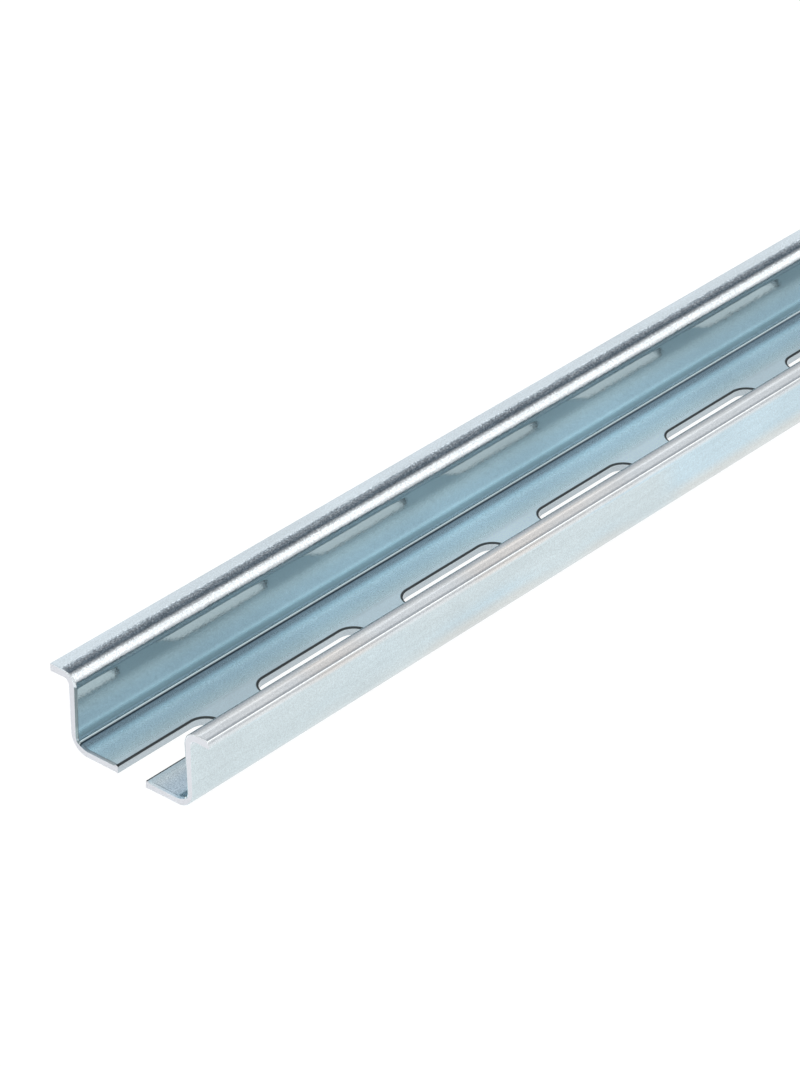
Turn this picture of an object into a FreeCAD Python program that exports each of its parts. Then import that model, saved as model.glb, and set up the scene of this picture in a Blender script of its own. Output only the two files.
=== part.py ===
import FreeCAD
import Part
import Sketcher
import math
import os

# Slotted top hat mounting rail, one roll-formed steel strip.
# Frame: X along the rail, Y across it, Z up. The web's underside lies on
# Z = 0, the middle of the rail is at X = 0 and Y = 0. Lengths are in mm.
# The end where the cut has opened a slot is the low X end.

BODY = "din_rail"
CLOSE = 1e-6

# Sizes
SIZES = [
    ("rail_length", "1000", "length of one cut piece"),
    ("rail_width", "35", "over both flange edges"),
    ("rail_height", "15", "web underside to flange top"),
    ("channel_width", "27", "outside of one wall to outside of the other"),
    ("sheet", "1.5", "thickness of the strip"),
    ("flange_bend", "1", "inner radius between wall and flange"),
    ("web_bend", "2", "inner radius between wall and web"),
    ("slot_length", "25", "end to end, round ends included"),
    ("slot_width", "6.2", "between the straight sides"),
    ("slot_pitch", "36", "centre to centre along the rail"),
    ("first_slot", "7.7", "low X end to the centre of the opened slot"),
    (
        "slot_total",
        "=floor((rail_length - first_slot + slot_length / 2) / slot_pitch) + 1",
        "slots that start before the high X end, the opened one included",
    ),
]

doc = FreeCAD.newDocument("slotted_rail")
sizes = doc.addObject("Spreadsheet::Sheet", "sizes")
for row, (alias, value, meaning) in enumerate(SIZES, start=1):
    sizes.set("A%d" % row, meaning)
    sizes.set("B%d" % row, value)
    sizes.setAlias("B%d" % row, alias)
doc.recompute()


def sketch_on(body, role, name):
    """A sketch that lies flat on the body's own origin plane of that role."""
    plane = [item for item in body.Origin.OriginFeatures if item.Role == role][0]
    sketch = body.newObject("Sketcher::SketchObject", name)
    sketch.AttachmentSupport = [(plane, "")]
    sketch.MapMode = "FlatFace"
    return sketch


def line(sketch, start, end):
    """A straight line between two points of the sketch."""
    here = FreeCAD.Vector(start[0], start[1], 0)
    there = FreeCAD.Vector(end[0], end[1], 0)
    return sketch.addGeometry(Part.LineSegment(here, there), False)


def half_circle(sketch, centre_x, radius, first_angle):
    """A half circle on the sketch's X axis, from the first angle onwards."""
    centre = FreeCAD.Vector(centre_x, 0, 0)
    circle = Part.Circle(centre, FreeCAD.Vector(0, 0, 1), radius)
    arc = Part.ArcOfCircle(circle, first_angle, first_angle + math.pi)
    return sketch.addGeometry(arc, False)


def bind(sketch, name, expression, *constraint):
    """A named dimension that the sheet drives."""
    index = sketch.addConstraint(Sketcher.Constraint(*constraint))
    sketch.renameConstraint(index, name)
    sketch.setExpression("Constraints." + name, expression)


def long_edges(shape, y, z):
    """Names of the edges along X at plus and minus y and at height z."""
    names = []
    for number, edge in enumerate(shape.Edges, start=1):
        first, last = edge.Vertexes[0].Point, edge.Vertexes[-1].Point
        along = abs(first.x - last.x) > CLOSE
        placed = all(
            abs(abs(point.y) - y) < CLOSE and abs(point.z - z) < CLOSE
            for point in (first, last)
        )
        if along and placed:
            names.append("Edge%d" % number)
    return names


def round_bend(body, base, name, y, z, expression):
    """Round the two long edges at plus and minus y to the bend's radius."""
    fillet = body.newObject("PartDesign::Fillet", name)
    fillet.Base = (base, long_edges(base.Shape, y, z))
    fillet.setExpression("Radius", expression)
    doc.recompute()
    return fillet


body = doc.addObject("PartDesign::Body", BODY)
body.Label = BODY

# Hat section
# Twelve lines run round the section from the top of the left flange's edge:
# along the top of the strip to the right flange, then back underneath.
half_width = sizes.rail_width / 2
half_channel = sizes.channel_width / 2
half_inside = half_channel - sizes.sheet
under_flange = sizes.rail_height - sizes.sheet
corners = [
    (-half_width, sizes.rail_height),
    (-half_inside, sizes.rail_height),
    (-half_inside, sizes.sheet),
    (half_inside, sizes.sheet),
    (half_inside, sizes.rail_height),
    (half_width, sizes.rail_height),
    (half_width, under_flange),
    (half_channel, under_flange),
    (half_channel, 0),
    (-half_channel, 0),
    (-half_channel, under_flange),
    (-half_width, under_flange),
]

section = sketch_on(body, "YZ_Plane", "section")
(
    flange_top_left,
    wall_inside_left,
    web_top,
    wall_inside_right,
    flange_top_right,
    flange_edge_right,
    flange_under_right,
    wall_outside_right,
    web_under,
    wall_outside_left,
    flange_under_left,
    flange_edge_left,
) = [
    line(section, corner, corners[(number + 1) % len(corners)])
    for number, corner in enumerate(corners)
]
for number in range(len(corners)):
    following = (number + 1) % len(corners)
    section.addConstraint(Sketcher.Constraint("Coincident", number, 2, following, 1))
for level in (flange_top_left, flange_top_right, flange_under_right, flange_under_left):
    section.addConstraint(Sketcher.Constraint("Horizontal", level))
for upright in (
    wall_inside_left,
    wall_inside_right,
    flange_edge_right,
    wall_outside_right,
    wall_outside_left,
    flange_edge_left,
):
    section.addConstraint(Sketcher.Constraint("Vertical", upright))
section.addConstraint(Sketcher.Constraint("PointOnObject", web_under, 1, -1))
section.addConstraint(Sketcher.Constraint("Symmetric", web_under, 1, web_under, 2, -2))
section.addConstraint(Sketcher.Constraint("Symmetric", web_top, 1, web_top, 2, -2))
section.addConstraint(
    Sketcher.Constraint("Symmetric", flange_top_left, 1, flange_top_right, 2, -2)
)
bind(
    section, "rail_width", "sizes.rail_width",
    "DistanceX", flange_top_left, 1, flange_top_right, 2, sizes.rail_width,
)
bind(
    section, "rail_height", "sizes.rail_height",
    "DistanceY", web_under, 1, flange_top_right, 2, sizes.rail_height,
)
bind(
    section, "channel_width", "sizes.channel_width",
    "DistanceX", web_under, 2, web_under, 1, sizes.channel_width,
)
bind(
    section, "web_sheet", "sizes.sheet",
    "DistanceY", web_under, 1, web_top, 2, sizes.sheet,
)
bind(
    section, "wall_sheet", "sizes.sheet",
    "DistanceX", web_top, 2, web_under, 1, sizes.sheet,
)
bind(
    section, "flange_sheet_right", "sizes.sheet",
    "DistanceY", flange_edge_right, 2, flange_edge_right, 1, sizes.sheet,
)
bind(
    section, "flange_sheet_left", "sizes.sheet",
    "DistanceY", flange_edge_left, 1, flange_edge_left, 2, sizes.sheet,
)

strip = body.newObject("PartDesign::Pad", "strip")
strip.Profile = section
strip.SideType = "Symmetric"
strip.setExpression("Length", "sizes.rail_length")
doc.recompute()

# Bends
# Each bend has one centre, so its outer radius is the inner one plus the strip.
bend = round_bend(
    body, strip, "flange_bend_inside", half_channel, under_flange,
    "sizes.flange_bend",
)
bend = round_bend(
    body, bend, "flange_bend_outside", half_inside, sizes.rail_height,
    "sizes.flange_bend + sizes.sheet",
)
bend = round_bend(
    body, bend, "web_bend_inside", half_inside, sizes.sheet,
    "sizes.web_bend",
)
bend = round_bend(
    body, bend, "web_bend_outside", half_channel, 0,
    "sizes.web_bend + sizes.sheet",
)

# Slots
# The first slot's centre is so near the low X end that the cut opens it.
radius = sizes.slot_width / 2
reach = sizes.slot_length / 2 - radius
centre = sizes.first_slot - sizes.rail_length / 2

outline = sketch_on(body, "XY_Plane", "slot_outline")
side_high = line(outline, (centre - reach, radius), (centre + reach, radius))
end_far = half_circle(outline, centre + reach, radius, -math.pi / 2)
side_low = line(outline, (centre + reach, -radius), (centre - reach, -radius))
end_near = half_circle(outline, centre - reach, radius, math.pi / 2)
outline.addConstraint(Sketcher.Constraint("Tangent", side_high, 2, end_far, 2))
outline.addConstraint(Sketcher.Constraint("Tangent", end_far, 1, side_low, 1))
outline.addConstraint(Sketcher.Constraint("Tangent", side_low, 2, end_near, 2))
outline.addConstraint(Sketcher.Constraint("Tangent", end_near, 1, side_high, 1))
outline.addConstraint(Sketcher.Constraint("Horizontal", side_high))
outline.addConstraint(Sketcher.Constraint("PointOnObject", end_far, 3, -1))
outline.addConstraint(Sketcher.Constraint("PointOnObject", end_near, 3, -1))
bind(
    outline, "slot_width", "sizes.slot_width",
    "DistanceY", side_low, 2, side_high, 1, sizes.slot_width,
)
bind(
    outline, "slot_straight", "sizes.slot_length - sizes.slot_width",
    "DistanceX", end_near, 3, end_far, 3, 2 * reach,
)
bind(
    outline, "slot_place",
    "sizes.rail_length / 2 - sizes.first_slot - (sizes.slot_length - sizes.slot_width) / 2",
    "DistanceX", end_far, 3, -1, 1, -centre - reach,
)

slot = body.newObject("PartDesign::Pocket", "slot")
slot.Profile = outline
slot.Type = "ThroughAll"
slot.Reversed = True
doc.recompute()

slots = body.newObject("PartDesign::LinearPattern", "slots")
slots.Originals = [slot]
slots.Direction = (
    [item for item in body.Origin.OriginFeatures if item.Role == "X_Axis"][0],
    [""],
)
slots.Mode = "Spacing"
slots.setExpression("Offset", "sizes.slot_pitch")
slots.setExpression("Occurrences", "sizes.slot_total")
body.Tip = slots
doc.recompute()

# Export
for item in doc.Objects:
    if "Invalid" in item.State or "Error" in item.State:
        raise ValueError("%s did not build: %s" % (item.Name, item.State))
shape = body.Shape
if shape.isNull() or not shape.isValid() or len(shape.Solids) != 1:
    raise ValueError("the rail is not one valid solid")

os.makedirs("parts", exist_ok=True)
shape.exportStep("parts/%s.step" % body.Label)
print("volume mm3", round(shape.Volume, 1), "faces", len(shape.Faces))
print("box", shape.BoundBox)
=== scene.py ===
import math

import bpy
from mathutils import Matrix, Vector


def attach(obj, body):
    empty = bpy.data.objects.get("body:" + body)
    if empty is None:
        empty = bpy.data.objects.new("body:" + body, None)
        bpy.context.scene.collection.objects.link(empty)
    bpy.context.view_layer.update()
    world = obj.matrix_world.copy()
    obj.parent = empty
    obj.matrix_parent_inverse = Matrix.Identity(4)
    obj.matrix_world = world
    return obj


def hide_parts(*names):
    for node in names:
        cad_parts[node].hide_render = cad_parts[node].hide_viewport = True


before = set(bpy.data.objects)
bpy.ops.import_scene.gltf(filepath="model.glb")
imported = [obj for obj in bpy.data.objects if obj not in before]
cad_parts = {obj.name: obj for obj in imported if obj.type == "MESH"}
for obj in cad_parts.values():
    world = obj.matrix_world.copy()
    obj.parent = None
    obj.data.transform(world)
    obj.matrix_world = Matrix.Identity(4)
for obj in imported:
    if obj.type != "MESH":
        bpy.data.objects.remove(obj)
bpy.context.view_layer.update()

MM = 0.001

# Sizes of the rail, in mm, as in the part's source
LENGTH = 1000.0
WIDTH = 35.0
HEIGHT = 15.0
CHANNEL = 27.0
SHEET = 1.5
FLANGE_BEND = 1.0
WEB_BEND = 2.0
SLOT_LENGTH = 25.0
SLOT_WIDTH = 6.2
PITCH = 36.0
FIRST_SLOT = 7.7

# Radii of the edges as slitting, punching and cropping leave them, in mm
SLIT_EDGE = 0.12
SLOT_ROLL = 0.85
SLOT_CORNER = 0.05
SLOT_BREAK = 0.12
CROP_EDGE = 0.2
CROP_EDGE_INSIDE = 0.45

# The slot's top edge rolls over by this turn, in degrees, before it shears
SLOT_ROLL_TURN = 32
# Flat rim kept round a slot, in mm, so that an end's rounding stops short of it
SLOT_MARGIN = 0.5
# Share of a smaller edge's radius that an end's rounding may take there
SMALL_SHARE = 0.8
# Just over one, so that a place right on a limit counts as within it
JUST_OVER = 1.01

# The walls' inner faces lean in by this turn, in degrees. That sets their foot out
# and their top in, in mm.
LEAN = 1.9
FOOT_OUT = 0.09
TOP_IN = 0.145

# Bends as turns: radius in mm, angle in degrees, steps
# The web bend is pressed in to a crease, the flange bend starts and ends gently.
CREASE = [(2.6, 20, 5), (19.5, 4, 3), (0.25, 48, 8), (3.3, 18 + LEAN, 5)]
ROLL = [(3.2, -21 - LEAN, 6), (2.3, -51, 11), (6.6, -18, 6)]
# Top of a flange's edge: sharp on the far side, drawn down on the near one
SHARP = [(SLIT_EDGE, -90, 13)]
DRAWN = [(4.6, -7, 3), (0.25, -52, 5), (2.6, -23, 3), (0.6, -8, 2)]

# A slot's cell: steps along its sides past the slot, across its end, and round an edge
CORNER_STEPS = 4
SIDE_STEPS = 16
EDGE_STEPS = 4

# Vertices are one where they agree to a part of a mm as small as this
PARTS_PER_MM = 1e5
# Decimals to which two stations along the rail, in mm, are one
STATION_DECIMALS = 6

# A slot's centre to the centre of its round end, and the radius of that end
SLOT_REACH = (SLOT_LENGTH - SLOT_WIDTH) / 2
SLOT_RADIUS = SLOT_WIDTH / 2
# The rail's middle to its last stations, where the ends' rounding starts
LAST_STATION = LENGTH / 2 - CROP_EDGE_INSIDE


class Skin:
    """A closed skin. Every vertex has one exact normal, as all edges are round."""

    def __init__(self):
        self.points = []
        self.normals = []
        self.places = {}
        self.faces = []

    def vertex(self, point, normal):
        key = tuple(round(value * PARTS_PER_MM) for value in point)
        if key not in self.places:
            self.places[key] = len(self.points)
            self.points.append(Vector(point))
            self.normals.append(Vector(normal).normalized())
        return self.places[key]

    def face(self, corners):
        """Add a face, wound so that it looks the way its vertices do."""
        loop = [c for n, c in enumerate(corners) if c != corners[n - 1]]
        if len(loop) < 3:
            return
        first = self.points[loop[0]]
        across = (self.points[loop[1]] - first).cross(self.points[loop[2]] - first)
        if len(loop) == 4:
            across += (self.points[loop[2]] - first).cross(self.points[loop[3]] - first)
        looks = sum((self.normals[c] for c in loop), Vector())
        self.faces.append(loop if across.dot(looks) > 0 else loop[::-1])

    def sheet(self, rows):
        """Quads between rows of vertices that have equal counts."""
        for low, high in zip(rows, rows[1:]):
            for n in range(len(low) - 1):
                self.face([low[n], low[n + 1], high[n + 1], high[n]])

    def mesh(self, name):
        mesh = bpy.data.meshes.new(name)
        mesh.from_pydata([point * MM for point in self.points], [], self.faces)
        mesh.shade_smooth()
        mesh.normals_split_custom_set_from_vertices(self.normals)
        mesh.validate()
        return mesh


def bend(heading, turns, y, z, end):
    """One bend of the strip's surface, which has its metal on the right hand.

    turns are (radius, angle, steps), anticlockwise angles positive, in degrees.
    The bend is moved so that it starts at y and z. Where end's first value is set,
    it finishes at y instead, and where its second one is, at z.
    """
    places = [(0.0, 0.0, heading)]
    for radius, angle, steps in turns:
        for _ in range(steps):
            y0, z0, way = places[-1]
            half = math.radians(angle / steps / 2)
            chord = 2 * radius * math.sin(abs(half))
            along = math.radians(way) + half
            places.append((
                y0 + chord * math.cos(along),
                z0 + chord * math.sin(along),
                way + angle / steps,
            ))
    move_y = y - (places[-1][0] if end[0] else 0.0)
    move_z = z - (places[-1][1] if end[1] else 0.0)
    out = []
    for y0, z0, way in places:
        normal = math.radians(way + 90)
        out.append((y0 + move_y, z0 + move_z, math.cos(normal), math.sin(normal)))
    return out


def half_section(slit):
    """Half the strip, from the web's top out round the slit edge to its underside."""
    outside = CHANNEL / 2
    inside = outside - SHEET
    edge = WIDTH / 2
    foot = bend(0, CREASE, inside + FOOT_OUT, SHEET, (True, False))
    return (
        foot
        + bend(90 + LEAN, ROLL, inside - TOP_IN, HEIGHT, (False, True))
        + bend(0, slit, edge, HEIGHT, (True, False))
        + bend(-90, [(SLIT_EDGE, -90, 6)], edge, HEIGHT - SHEET, (False, True))
        + bend(180, [(FLANGE_BEND, 90, 24)], outside, HEIGHT - SHEET, (True, False))
        + bend(-90, [(WEB_BEND + SHEET, -90, 20)], outside, 0, (False, True))
        + [(foot[0][0], 0.0, 0.0, -1.0)]
    )


def slot_layers():
    """Steps down a slot's side: outward offset, height, and the normal's two parts.

    The punch draws the top edge down in a shallow roll before it shears the sheet.
    """
    out = SLOT_CORNER * (1 - math.sin(math.radians(SLOT_ROLL_TURN)))
    out += SLOT_ROLL * math.sin(math.radians(SLOT_ROLL_TURN))
    z = SHEET
    layers = [(out + SLOT_MARGIN, z, 0.0, 1.0), (out, z, 0.0, 1.0)]
    turn = 0.0
    for radius, angle in ((SLOT_ROLL, SLOT_ROLL_TURN), (SLOT_CORNER, 90 - SLOT_ROLL_TURN)):
        for _ in range(EDGE_STEPS):
            step = math.radians(angle / EDGE_STEPS)
            chord = 2 * radius * math.sin(step / 2)
            out -= chord * math.cos(turn + step / 2)
            z -= chord * math.sin(turn + step / 2)
            turn += step
            layers.append((out, z, -math.sin(turn), math.cos(turn)))
    for n in range(EDGE_STEPS + 1):
        turn = math.radians(90 * n / EDGE_STEPS)
        side, down = math.sin(turn), math.cos(turn)
        layers.append((SLOT_BREAK * (1 - down), SLOT_BREAK * (1 - side), -down, -side))
    layers.append((SLOT_BREAK + SLOT_MARGIN, 0.0, 0.0, -1.0))
    return layers


def spread(low, high, steps):
    """Even steps from low to high, both included."""
    return [low + (high - low) * n / steps for n in range(steps + 1)]


def slotted_web(skin, web_y, layers):
    """The web between its bends, one cell for each slot. Returns its stations."""

    def column(x, y, rim_x, rim_y, out_x, out_y):
        """Web top, slot side and web underside, from outside the slot inwards."""
        top = skin.vertex((x, y, SHEET), (0, 0, 1))
        under = skin.vertex((x, y, 0), (0, 0, -1))
        rim = [
            skin.vertex(
                (rim_x + out * out_x, rim_y + out * out_y, z),
                (side * out_x, side * out_y, up),
            )
            for out, z, side, up in layers
        ]
        return [top] + rim + [under]

    def round_end(centre, side, far):
        """The cell past a slot's straight sides, out to far. Returns its stations."""
        walk = spread(centre + side * SLOT_REACH, far, CORNER_STEPS)
        outer = [(x, web_y) for x in walk]
        outer += [(far, y) for y in spread(web_y, -web_y, SIDE_STEPS)[1:]]
        outer += [(x, -web_y) for x in walk[::-1][1:]]
        steps = len(outer) - 1
        columns = []
        for n, (x, y) in enumerate(outer):
            angle = math.pi / 2 - math.pi * n / steps
            out_x, out_y = side * math.cos(angle), math.sin(angle)
            rim_x = centre + side * SLOT_REACH + SLOT_RADIUS * out_x
            columns.append(column(x, y, rim_x, SLOT_RADIUS * out_y, out_x, out_y))
        skin.sheet(columns)
        return walk

    stations = [-LAST_STATION]
    total = int((LENGTH - FIRST_SLOT + SLOT_LENGTH / 2) // PITCH) + 1
    for number in range(total):
        centre = -LENGTH / 2 + FIRST_SLOT + PITCH * number
        opened = centre - SLOT_REACH - SLOT_RADIUS < -LENGTH / 2
        last = number == total - 1
        x_low = -LAST_STATION if opened else centre - SLOT_REACH
        x_high = LAST_STATION if last else centre + PITCH / 2
        if not opened:
            stations += round_end(centre, -1, centre - PITCH / 2)
        stations += round_end(centre, 1, x_high)
        for sign in (1, -1):
            skin.sheet([
                column(x, sign * web_y, x, sign * SLOT_RADIUS, 0, sign)
                for x in (x_low, centre + SLOT_REACH)
            ])
    return sorted(set(round(x, STATION_DECIMALS) for x in stations))


def crop_edge(y, z, ny, nz, rim_y):
    """Radius of the cropped edge at one place of the section.

    The slit edge, and an opened slot's rim out to rim_y, are smaller edges.
    """
    inside = max(nz if z < HEIGHT / 2 else 0.0, -ny * math.copysign(1, y), 0.0)
    edge = CROP_EDGE + (CROP_EDGE_INSIDE - CROP_EDGE) * inside
    if abs(y) > WIDTH / 2 - JUST_OVER * SLIT_EDGE:
        return min(edge, SMALL_SHARE * SLIT_EDGE)
    if abs(y) < rim_y:
        return SMALL_SHARE * SLOT_CORNER
    return edge


def cropped_end(skin, loop, way, rim_y):
    """Round the edge of a section loop at the end that lies that way, and close it.

    The loop's first half runs along the strip's top, and the rest back below.
    """
    x_last = way * LAST_STATION
    rings = [[skin.vertex((x_last, y, z), (0, ny, nz)) for y, z, ny, nz in loop]]
    for n in range(EDGE_STEPS + 1):
        turn = math.pi / 2 * n / EDGE_STEPS
        along, around = math.sin(turn), math.cos(turn)
        ring = []
        for y, z, ny, nz in loop:
            edge = crop_edge(y, z, ny, nz, rim_y)
            back = edge * (1 - around)
            ring.append(skin.vertex(
                (way * (LENGTH / 2 - edge * (1 - along)), y - ny * back, z - nz * back),
                (way * along, ny * around, nz * around),
            ))
        rings.append(ring)
    skin.sheet([ring + ring[:1] for ring in rings])
    last = rings[-1]
    for n in range(len(last) // 2 - 1):
        skin.face([last[n], last[n + 1], last[-2 - n], last[-1 - n]])


def opened_end(skin, halves, layers):
    """The low X end, cut through a slot, so that each side has a loop of its own."""
    rim_y = SLOT_RADIUS + JUST_OVER * layers[1][0]
    slot_side = [(SLOT_RADIUS + out, z, side, up) for out, z, side, up in layers]
    middle = len(slot_side) // 2
    for mirror in (1, -1):
        loop = slot_side[:middle][::-1] + halves[mirror] + slot_side[middle:][::-1]
        loop = [(mirror * y, z, mirror * ny, nz) for y, z, ny, nz in loop]
        cropped_end(skin, loop, -1, rim_y)


def plain_end(skin, halves, web_y):
    """The high X end, cut through the plain web."""
    near = [(-y, z, -ny, nz) for y, z, ny, nz in halves[-1][::-1]]
    split = len(near) // 2
    between = spread(-web_y, web_y, SIDE_STEPS)[1:-1]
    loop = near[split:] + [(y, SHEET, 0.0, 1.0) for y in between] + halves[1]
    loop += [(-y, 0.0, 0.0, -1.0) for y in between] + near[:split]
    cropped_end(skin, loop, 1, 0.0)


def build_rail():
    """The rail's mesh: slotted web, both sides of the section, and both ends."""
    skin = Skin()
    halves = {1: half_section(SHARP), -1: half_section(DRAWN)}
    layers = slot_layers()
    web_y = halves[1][0][0]
    stations = slotted_web(skin, web_y, layers)
    for mirror in (1, -1):
        skin.sheet([
            [
                skin.vertex((x, mirror * y, z), (0, mirror * ny, nz))
                for y, z, ny, nz in halves[mirror]
            ]
            for x in stations
        ])
    opened_end(skin, halves, layers)
    plain_end(skin, halves, web_y)
    return skin.mesh("rail")


rail = bpy.data.objects.new("rail", build_rail())
bpy.context.scene.collection.objects.link(rail)
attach(rail, "root")
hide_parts("din_rail")


class Graph:
    """Small helpers for one node tree."""

    def __init__(self, owner):
        owner.use_nodes = True
        self.nodes = owner.node_tree.nodes
        self.links = owner.node_tree.links
        self.nodes.clear()

    def node(self, kind, inputs=(), **settings):
        node = self.nodes.new("ShaderNode" + kind)
        for name, value in settings.items():
            setattr(node, name, value)
        for name, value in dict(inputs).items():
            self.feed(node.inputs[name], value)
        return node

    def feed(self, socket, value):
        if isinstance(value, bpy.types.NodeSocket):
            self.links.new(value, socket)
        else:
            socket.default_value = value

    def math(self, operation, *values):
        node = self.node("Math", operation=operation)
        for socket, value in zip(node.inputs, values):
            self.feed(socket, value)
        return node.outputs[0]

    def ramp(self, value, low, high, out_low=0.0, out_high=1.0):
        """A smooth step between two levels."""
        node = self.node("MapRange", interpolation_type="SMOOTHSTEP")
        for name, given in (
            ("Value", value),
            ("From Min", low),
            ("From Max", high),
            ("To Min", out_low),
            ("To Max", out_high),
        ):
            self.feed(node.inputs[name], given)
        return node.outputs["Result"]

    def level(self, mask, low, high):
        """A value that goes from low to high as the mask does from 0 to 1."""
        return self.ramp(mask, 0.0, 1.0, low, high)

    def without(self, mask):
        return self.math("SUBTRACT", 1.0, mask)

    def times(self, first, *others):
        for other in others:
            first = self.math("MULTIPLY", first, other)
        return first

    def vector(self, operation, first, second=None, scale=None):
        node = self.node("VectorMath", operation=operation)
        for socket, value in ((0, first), (1, second), ("Scale", scale)):
            if value is not None:
                self.feed(node.inputs[socket], value)
        return node.outputs["Vector"]

    def mix(self, factor, first, second):
        node = self.node("Mix", data_type="RGBA")
        self.feed(node.inputs["Factor"], factor)
        self.feed(node.inputs[6], first)
        self.feed(node.inputs[7], second)
        return node.outputs[2]

    def paint(self, colour, *coats):
        """The colour under coats of mask and colour, the last one on top."""
        for mask, coat in coats:
            colour = self.mix(mask, colour, coat + (1,))
        return colour


# Size of the plating's crystals, in mm, and the scale that draws them out along X
CRYSTAL = 0.17
CRYSTAL_SCALE = (0.8, 1, 1)
NOISE_ROUGHNESS = 0.55


class Plating(Graph):
    """Zinc plating. Lengths are in mm, and a mask is 1 in its place and 0 elsewhere."""

    def __init__(self, material):
        super().__init__(material)
        coords = self.node("TexCoord").outputs["Object"]
        self.place = self.vector("SCALE", coords, scale=1 / MM)
        self.along, self.y, self.up = self.node("SeparateXYZ", {"Vector": self.place}).outputs
        self.across = self.math("ABSOLUTE", self.y)
        self.from_middle = self.math("ABSOLUTE", self.along)
        self.crystals = self.crystal_cells()
        self.mask_section()
        self.mask_channel()
        self.mask_dark_places()

    def noise(self, size, detail, scale=(1, 1, 1), offset=(0, 0, 0)):
        """Noise of a size in mm, drawn out along X where its first scale is under one."""
        mapping = self.node("Mapping", {
            "Vector": self.place,
            "Scale": scale,
            "Location": offset,
        })
        made = self.node("TexNoise", {
            "Vector": mapping.outputs["Vector"],
            "Scale": 1 / size,
            "Detail": detail,
            "Roughness": NOISE_ROUGHNESS,
        })
        return made.outputs["Fac"]

    def wave(self, operation, shift, period):
        """A slow change along the rail."""
        shifted = self.math("ADD", self.along, shift)
        return self.math(operation, self.times(shifted, 2 * math.pi / period))

    def crystal_cells(self):
        """Cells of the crystals' size, each with a colour of its own."""
        mapping = self.node("Mapping", {"Vector": self.place, "Scale": CRYSTAL_SCALE})
        cells = self.node("TexVoronoi", {
            "Vector": mapping.outputs["Vector"],
            "Scale": 1 / CRYSTAL,
        })
        return cells.outputs["Color"]

    def from_slot(self):
        """Distance from the outline of the nearest slot."""
        local = self.math("ADD", self.along, LENGTH / 2 - FIRST_SLOT + PITCH / 2)
        local = self.math("FLOORED_MODULO", local, PITCH)
        local = self.math("SUBTRACT", local, PITCH / 2)
        past = self.math("SUBTRACT", self.math("ABSOLUTE", local), SLOT_REACH)
        past = self.math("MAXIMUM", past, 0.0)
        squares = self.math("ADD", self.times(past, past), self.times(self.y, self.y))
        return self.math("SUBTRACT", self.math("SQRT", squares), SLOT_RADIUS)

    def mask_section(self):
        """Masks for the parts of the section and for the cropped ends."""
        ramp, times = self.ramp, self.times
        across, y, up = self.across, self.y, self.up
        # Inside of the channel
        self.channel = times(
            ramp(across, 12.7, 12.3), ramp(up, 0.9, 1.4), ramp(up, 12.8, 12.35)
        )
        # Flange bends, the wider parts that the rolls have marked, and how much those
        # sparkle, which is more on the far side
        self.bent = times(ramp(across, 14.8, 14.2), ramp(up, 12.0, 13.2))
        self.rolled = times(ramp(across, 15.6, 14.8), ramp(up, 12.6, 13.4))
        self.sparkle = times(self.rolled, ramp(y, -5.0, 5.0, 0.3, 1.0))
        # Near side, its flange, and a painted highlight on that flange's drawn edge. Then
        # ends.
        self.near = ramp(y, -11.8, -12.4)
        self.near_flange = times(self.near, ramp(up, 13.6, 14.4))
        self.near_edge_highlight = times(
            self.near_flange, ramp(y, -16.8, -17.0), ramp(y, -17.3, -17.1)
        )
        self.cut = ramp(self.from_middle, LENGTH / 2 - 0.02, LENGTH / 2 - 0.005)

    def mask_channel(self):
        """Masks for the channel, from the middle of the web out and up the wall."""
        ramp, times = self.ramp, self.times
        across, up = self.across, self.up
        # Web, the matt bridges between its slots, the strip that the punch has dulled,
        # and its shaded sides
        self.web = ramp(up, 2.2, 1.6)
        self.matt = times(self.web, ramp(up, 1.25, 1.35), ramp(across, 5.4, 3.2))
        self.punched = times(self.web, ramp(across, 8.0, 3.8))
        self.shade = times(ramp(across, 8.6, 10.7), ramp(up, 2.6, 2.0))
        # The crease's painted highlight, and painted light on the wall's foot in two steps
        self.crease_highlight = times(
            ramp(across, 11.60, 11.68), ramp(across, 11.88, 11.80), ramp(up, 2.9, 2.6)
        )
        self.heel_light = times(ramp(across, 11.86, 11.93), ramp(up, 3.1, 2.5))
        self.shin_light = times(ramp(up, 5.2, 4.2), ramp(up, 2.7, 3.2))

    def mask_dark_places(self):
        """Masks for painted shade on the slots' rims, in the crease and on the ends' edges,
        and for the slots' sides.
        """
        ramp, times = self.ramp, self.times
        across, y, up = self.across, self.y, self.up
        gap = self.from_slot()
        # Painted shade in a dark line round each slot's rim, and the slots' sheared sides
        self.rim = times(ramp(gap, 0.55, 0.28), ramp(up, 1.2, 1.33))
        self.sheared = times(ramp(gap, 0.3, 0.15), ramp(up, 1.3, 1.2))
        # Painted shade in the crease's fold, stronger in some places than in others and
        # more on the far side, and painted shade in the groove over it
        crease_shade_strength = self.math("ADD", times(self.wave("COSINE", 500, 640), 0.35), 0.65)
        crease_shade_strength = times(crease_shade_strength, ramp(y, -5.0, 5.0, 0.4, 1.0))
        self.crease_shade = times(
            ramp(across, 11.2, 11.45), ramp(across, 11.66, 11.54), self.channel, crease_shade_strength
        )
        self.groove_shade = times(
            ramp(across, 11.87, 11.92), ramp(up, 2.44, 2.36), self.channel
        )
        # Painted shade along the edges of the cropped ends, on the far side of the channel
        by_end = ramp(self.from_middle, LENGTH / 2 - 0.5, LENGTH / 2 - 0.25)
        self.crop_shade = times(by_end, self.channel, self.without(self.cut), ramp(y, -3.0, 0.0))

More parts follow.
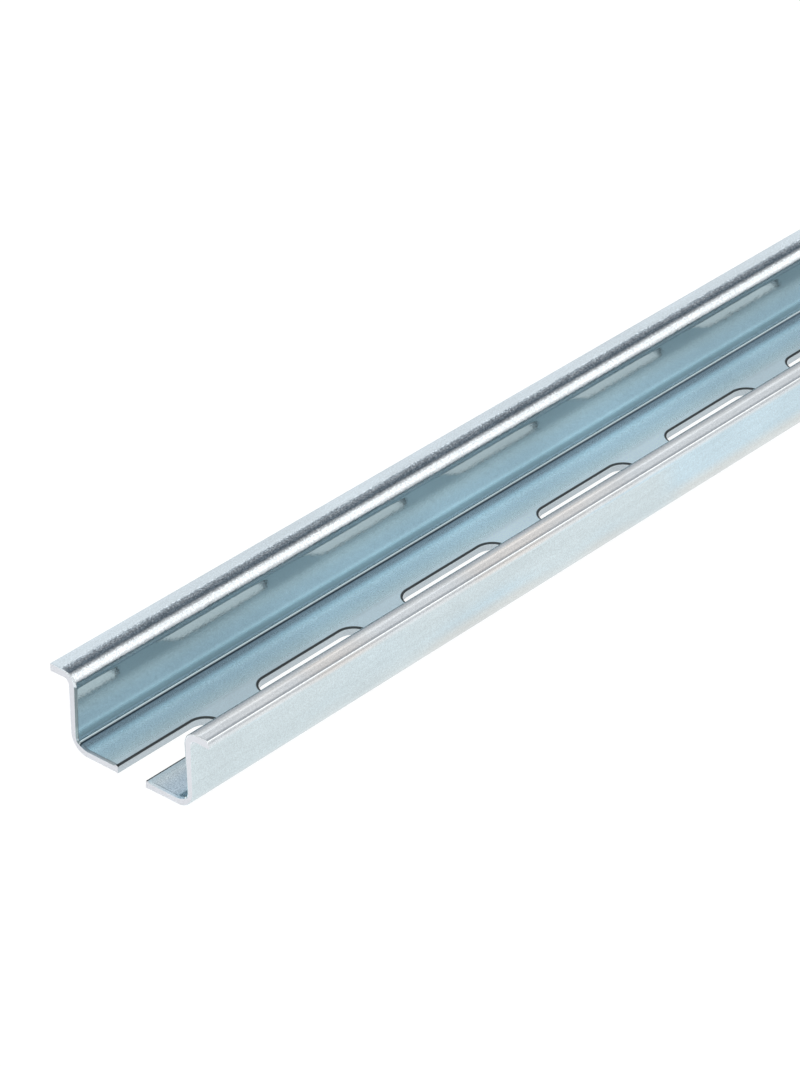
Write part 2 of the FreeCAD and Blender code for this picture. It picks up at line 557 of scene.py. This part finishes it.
    def outside(self):
        """Colour outside the channel, with painted shade and a painted highlight."""
        ramp, times = self.ramp, self.times
        near, near_flange = self.near, self.near_flange
        pale = ramp(self.noise(26, 1, (0.6, 1, 1), (1.3, 0, 0)), 0.47, 0.62)
        warm = ramp(self.noise(24, 2, (0.6, 1, 1), (3.7, 0, 0)), 0.54, 0.7)
        return self.paint(
            (0.67, 0.75, 0.80, 1),
            (near, (0.545, 0.675, 0.74)),
            # Painted shade at the foot of the near wall
            (times(near, ramp(self.up, 5.6, 2.8)), (0.64, 0.67, 0.665)),
            (times(near, pale), (0.60, 0.68, 0.705)),
            (near_flange, (0.69, 0.725, 0.75)),
            (times(near_flange, warm), (0.70, 0.68, 0.66)),
            # Painted highlight along the near flange's drawn edge
            (self.near_edge_highlight, (0.89, 0.925, 0.94)),
            (self.bent, (0.71, 0.755, 0.785)),
        )

    def inside(self):
        """Colour inside the channel, with painted shade and painted light in places."""
        return self.paint(
            (0.33, 0.42, 0.45, 1),
            # Painted shade: the inner wall darker towards its top
            (self.ramp(self.up, 10.2, 7.0), (0.395, 0.505, 0.535)),
            (self.web, (0.56, 0.69, 0.79)),
            (self.punched, (0.68, 0.775, 0.815)),
            (self.matt, (0.70, 0.87, 0.96)),
            (self.shade, (0.36, 0.51, 0.615)),
            # Painted light on the foot of the wall, in two steps
            (self.heel_light, (0.72, 0.90, 0.97)),
            (self.shin_light, (0.56, 0.715, 0.74)),
            # The crease's painted highlight
            (self.crease_highlight, (0.88, 1.0, 1.0)),
            # Painted shade in the crease's fold
            (self.crease_shade, (0.26, 0.43, 0.56)),
        )

    def tone(self):
        """What the colour is multiplied by."""
        ramp, level, times = self.ramp, self.level, self.times
        channel, up = self.channel, self.up
        cloud = ramp(self.noise(14, 3, (0.7, 1, 1)), 0.3, 0.7, 0.955, 1.03)
        # Drawing streaks, outside the channel only
        streak = ramp(self.noise(0.9, 3, (0.04, 1, 1)), 0.3, 0.7, 0.975, 1.025)
        streak = self.math("ADD", times(streak, self.without(channel)), channel)
        # Grain and crystals, which sparkle less in the bright band round the bend
        grain = ramp(self.noise(0.22, 1), 0.25, 0.75, 0.92, 1.08)
        band = times(ramp(up, 14.5, 14.2), ramp(up, 12.9, 13.2))
        spark = self.node("SeparateXYZ", {"Vector": self.crystals}).outputs["X"]
        spark = self.math("SUBTRACT", spark, 0.5)
        spark = times(spark, level(self.sparkle, 0.02, 0.55), level(band, 1.0, 0.45))
        spark = self.math("ADD", spark, 1.0)
        # Painted light and shade: a slow wave along the channel that darkens and lightens
        # the web by turns, darkest at the low X end, and the wall a little the other way
        shade_wave = times(self.wave("SINE", 440, 200), channel, level(self.web, -0.03, 0.12))
        shade_wave = self.math("ADD", shade_wave, 1.0)
        # Painted shade on the slots' rims, in the crease's fold and groove and on the cropped
        # edges, and the slots' darker sheared sides
        dark = times(
            level(self.rim, 1.0, 0.06),
            level(self.crease_shade, 1.0, 0.18),
            level(self.sheared, 1.0, 0.74),
            level(self.groove_shade, 1.0, 0.55),
            level(self.crop_shade, 1.0, 0.5),
        )
        return times(cloud, streak, grain, spark, shade_wave, dark)

    def colour(self):
        """The faces' toned colour, and the plain colour of the cropped ends."""
        faces = self.mix(self.channel, self.outside(), self.inside())
        toned = self.vector("SCALE", faces, scale=self.tone())
        return self.mix(self.cut, toned, (0.73, 0.745, 0.78, 1))

    def metallic(self):
        """Less where the web is dulled, and much less where it is matt."""
        dulled = self.math("ADD", self.times(self.web, 0.07), self.times(self.punched, 0.11))
        dulled = self.math("ADD", dulled, self.times(self.matt, 0.72))
        return self.math("SUBTRACT", 0.95, dulled)

    def roughness(self):
        """Fine grain in the channel, blurred at the wall's foot, brushed on the web."""
        ramp, times = self.ramp, self.times
        channel, up = self.channel, self.up
        inside = ramp(self.noise(0.13, 0), 0.42, 0.58, 0.05, 0.13)
        blurred = times(ramp(up, 5.5, 3.6), ramp(up, 2.4, 2.7))
        inside = self.math("MAXIMUM", inside, times(blurred, 0.32))
        brushed = ramp(self.noise(0.16, 1), 0.4, 0.6, 0.16, 0.36)
        inside = self.math("MAXIMUM", inside, times(self.web, brushed))
        outside = self.level(self.rolled, 0.25, 0.13)
        rough = times(outside, self.without(channel))
        rough = self.math("ADD", rough, times(inside, channel))
        dull = self.math("MAXIMUM", self.cut, self.matt)
        return self.math("MAXIMUM", rough, times(dull, 0.6))

    def normal(self):
        """Fine bumps and drawing marks, and every crystal a little askew."""
        level, times = self.level, self.times
        bumps = times(self.noise(0.5, 2, (0.7, 1, 1)), level(self.sparkle, 0.005, 0.007))
        marks = times(self.noise(1.3, 2, (0.08, 1, 1)), level(self.rolled, 0.01, 0.03))
        marks = times(marks, self.without(self.channel))
        height = self.math("ADD", bumps, marks)
        bump = self.node("Bump", {"Height": height, "Distance": MM, "Strength": 1.0})
        turn = level(self.sparkle, 0.02, 0.08)
        turn = self.math("ADD", turn, times(self.near_flange, 0.01))
        askew = self.vector("SUBTRACT", self.crystals, (0.5, 0.5, 0.5))
        askew = self.vector("SCALE", askew, scale=turn)
        tilted = self.vector("ADD", bump.outputs["Normal"], askew)
        return self.vector("NORMALIZE", tilted)


def zinc():
    """The plating as a material."""
    material = bpy.data.materials.new("zinc_plate")
    plating = Plating(material)
    shader = plating.node("BsdfPrincipled", {
        "Metallic": plating.metallic(),
        "Base Color": plating.colour(),
        "Roughness": plating.roughness(),
        "Normal": plating.normal(),
    })
    out = plating.node("OutputMaterial")
    plating.links.new(shader.outputs[0], out.inputs["Surface"])
    return material


rail.data.materials.append(zinc())


# Half the floor's side, in metres
FLOOR_REACH = 6.0
# The plating mirrors a brighter strip of the floor, under the slots. It is full up to
# the first distance from the rail's middle, in metres, and gone from the second on.
STRIP_FULL = 0.008
STRIP_GONE = 0.012


def stage():
    """A white floor that keeps the rail's shadow and shows white in the plating."""
    mesh = bpy.data.meshes.new("floor")
    r = FLOOR_REACH
    mesh.from_pydata([(-r, -r, 0), (r, -r, 0), (r, r, 0), (-r, r, 0)], [], [(0, 1, 2, 3)])
    floor = bpy.data.objects.new("floor", mesh)
    bpy.context.scene.collection.objects.link(floor)
    material = bpy.data.materials.new("floor")
    graph = Graph(material)
    path = graph.node("LightPath")
    shadowed = graph.node("BsdfDiffuse", {"Color": (0.22, 0.22, 0.22, 1)})
    white = graph.node("Emission", {"Strength": 0.88})
    seen = graph.node("AddShader")
    graph.links.new(shadowed.outputs[0], seen.inputs[0])
    graph.links.new(white.outputs[0], seen.inputs[1])
    paper = graph.node("BsdfDiffuse", {"Color": (0.5, 0.5, 0.5, 1)})
    side = graph.node("SeparateXYZ", {"Vector": graph.node("TexCoord").outputs["Object"]})
    side = graph.math("ABSOLUTE", side.outputs["Y"])
    level = graph.ramp(side, STRIP_GONE, STRIP_FULL, 0.72, 0.82)
    glow = graph.node("Emission", {
        "Strength": graph.math("MULTIPLY", path.outputs["Is Glossy Ray"], level)
    })
    mirrored = graph.node("AddShader")
    graph.links.new(paper.outputs[0], mirrored.inputs[0])
    graph.links.new(glow.outputs[0], mirrored.inputs[1])
    chosen = graph.node("MixShader", {"Fac": path.outputs["Is Camera Ray"]})
    graph.links.new(mirrored.outputs[0], chosen.inputs[1])
    graph.links.new(seen.outputs[0], chosen.inputs[2])
    out = graph.node("OutputMaterial")
    graph.links.new(chosen.outputs[0], out.inputs["Surface"])
    mesh.materials.append(material)


stage()


# Levels of the long soft lights, every ten degrees round the rail from +Y up to -Y
LIGHTS = (
    0.30, 0.50, 0.65, 0.94, 1.36, 0.54, 0.32, 0.15, 0.10, 0.33,
    0.60, 1.06, 1.38, 1.36, 1.46, 1.44, 1.10, 0.78, 0.50,
)
# The colour stops hold each level as a share of this one
LIGHT_TOP = 2.0
# Lights below these levels are bluer
DARK_LEVEL = 0.2
DARK_TINT = (0.75, 1.0, 1.25)
DIM_LEVEL = 0.6
DIM_TINT = (0.95, 1.0, 1.07)
PLAIN_TINT = (1, 1, 1)
# Level of the light behind the camera
BACK_LIGHT = 1.05


def studio():
    """Soft lights as long as the rail, and one behind the camera, on a white ground."""
    world = bpy.data.worlds.new("studio")
    graph = Graph(world)
    way = graph.node("SeparateXYZ", {"Vector": graph.node("TexCoord").outputs["Generated"]})
    x, y, z = way.outputs
    turn = graph.math("DIVIDE", graph.math("ARCTAN2", z, y), math.pi)
    strips = graph.node("ValToRGB", {"Fac": turn})
    stops = strips.color_ramp.elements
    for n, level in enumerate(LIGHTS):
        place = n / (len(LIGHTS) - 1)
        if n == 0:
            stop = stops[0]
        elif n == len(LIGHTS) - 1:
            stop = stops[-1]
        else:
            stop = stops.new(place)
        stop.position = place
        tint = PLAIN_TINT
        if level < DARK_LEVEL:
            tint = DARK_TINT
        elif level < DIM_LEVEL:
            tint = DIM_TINT
        stop.color = [level / LIGHT_TOP * part for part in tint] + [1]
    ahead = graph.math("MULTIPLY", graph.ramp(x, -0.05, 0.25), LIGHT_TOP)
    behind = graph.math("MULTIPLY", graph.ramp(z, 0.0, 0.1), graph.ramp(x, 0.2, -0.15))
    light = graph.node("Background", {"Color": strips.outputs["Color"], "Strength": ahead})
    fill = graph.node("Background", {
        "Color": (1, 1, 1, 1),
        "Strength": graph.math("MULTIPLY", behind, BACK_LIGHT),
    })
    lit = graph.node("AddShader")
    graph.links.new(light.outputs[0], lit.inputs[0])
    graph.links.new(fill.outputs[0], lit.inputs[1])
    ground = graph.node("Background", {"Color": (1, 1, 1, 1), "Strength": 1.0})
    seen = graph.node("MixShader", {"Fac": graph.node("LightPath").outputs["Is Camera Ray"]})
    graph.links.new(lit.outputs[0], seen.inputs[1])
    graph.links.new(ground.outputs[0], seen.inputs[2])
    out = graph.node("OutputWorld")
    graph.links.new(seen.outputs[0], out.inputs["Surface"])
    bpy.context.scene.world = world


studio()

# Camera at the photo's angle: its right, down and forward directions, and its place
camera_data = bpy.data.cameras.new("camera")
camera_data.sensor_width = 36
camera_data.lens = 149.977
camera_data.clip_end = 20
camera = bpy.data.objects.new("camera", camera_data)
right = Vector((0.658896, -0.752202, -0.006946))
down = Vector((-0.391893, -0.335371, -0.856707))
ahead = Vector((0.642087, 0.567203, -0.515757))
place = Matrix.Identity(4)
for n, way in enumerate((right, -down, -ahead)):
    place[0][n], place[1][n], place[2][n] = way
place.translation = Vector((-0.911499, -0.420958, 0.399066))
camera.matrix_world = place
bpy.context.scene.collection.objects.link(camera)
bpy.context.scene.camera = camera
bpy.context.scene.view_settings.view_transform = "Standard"
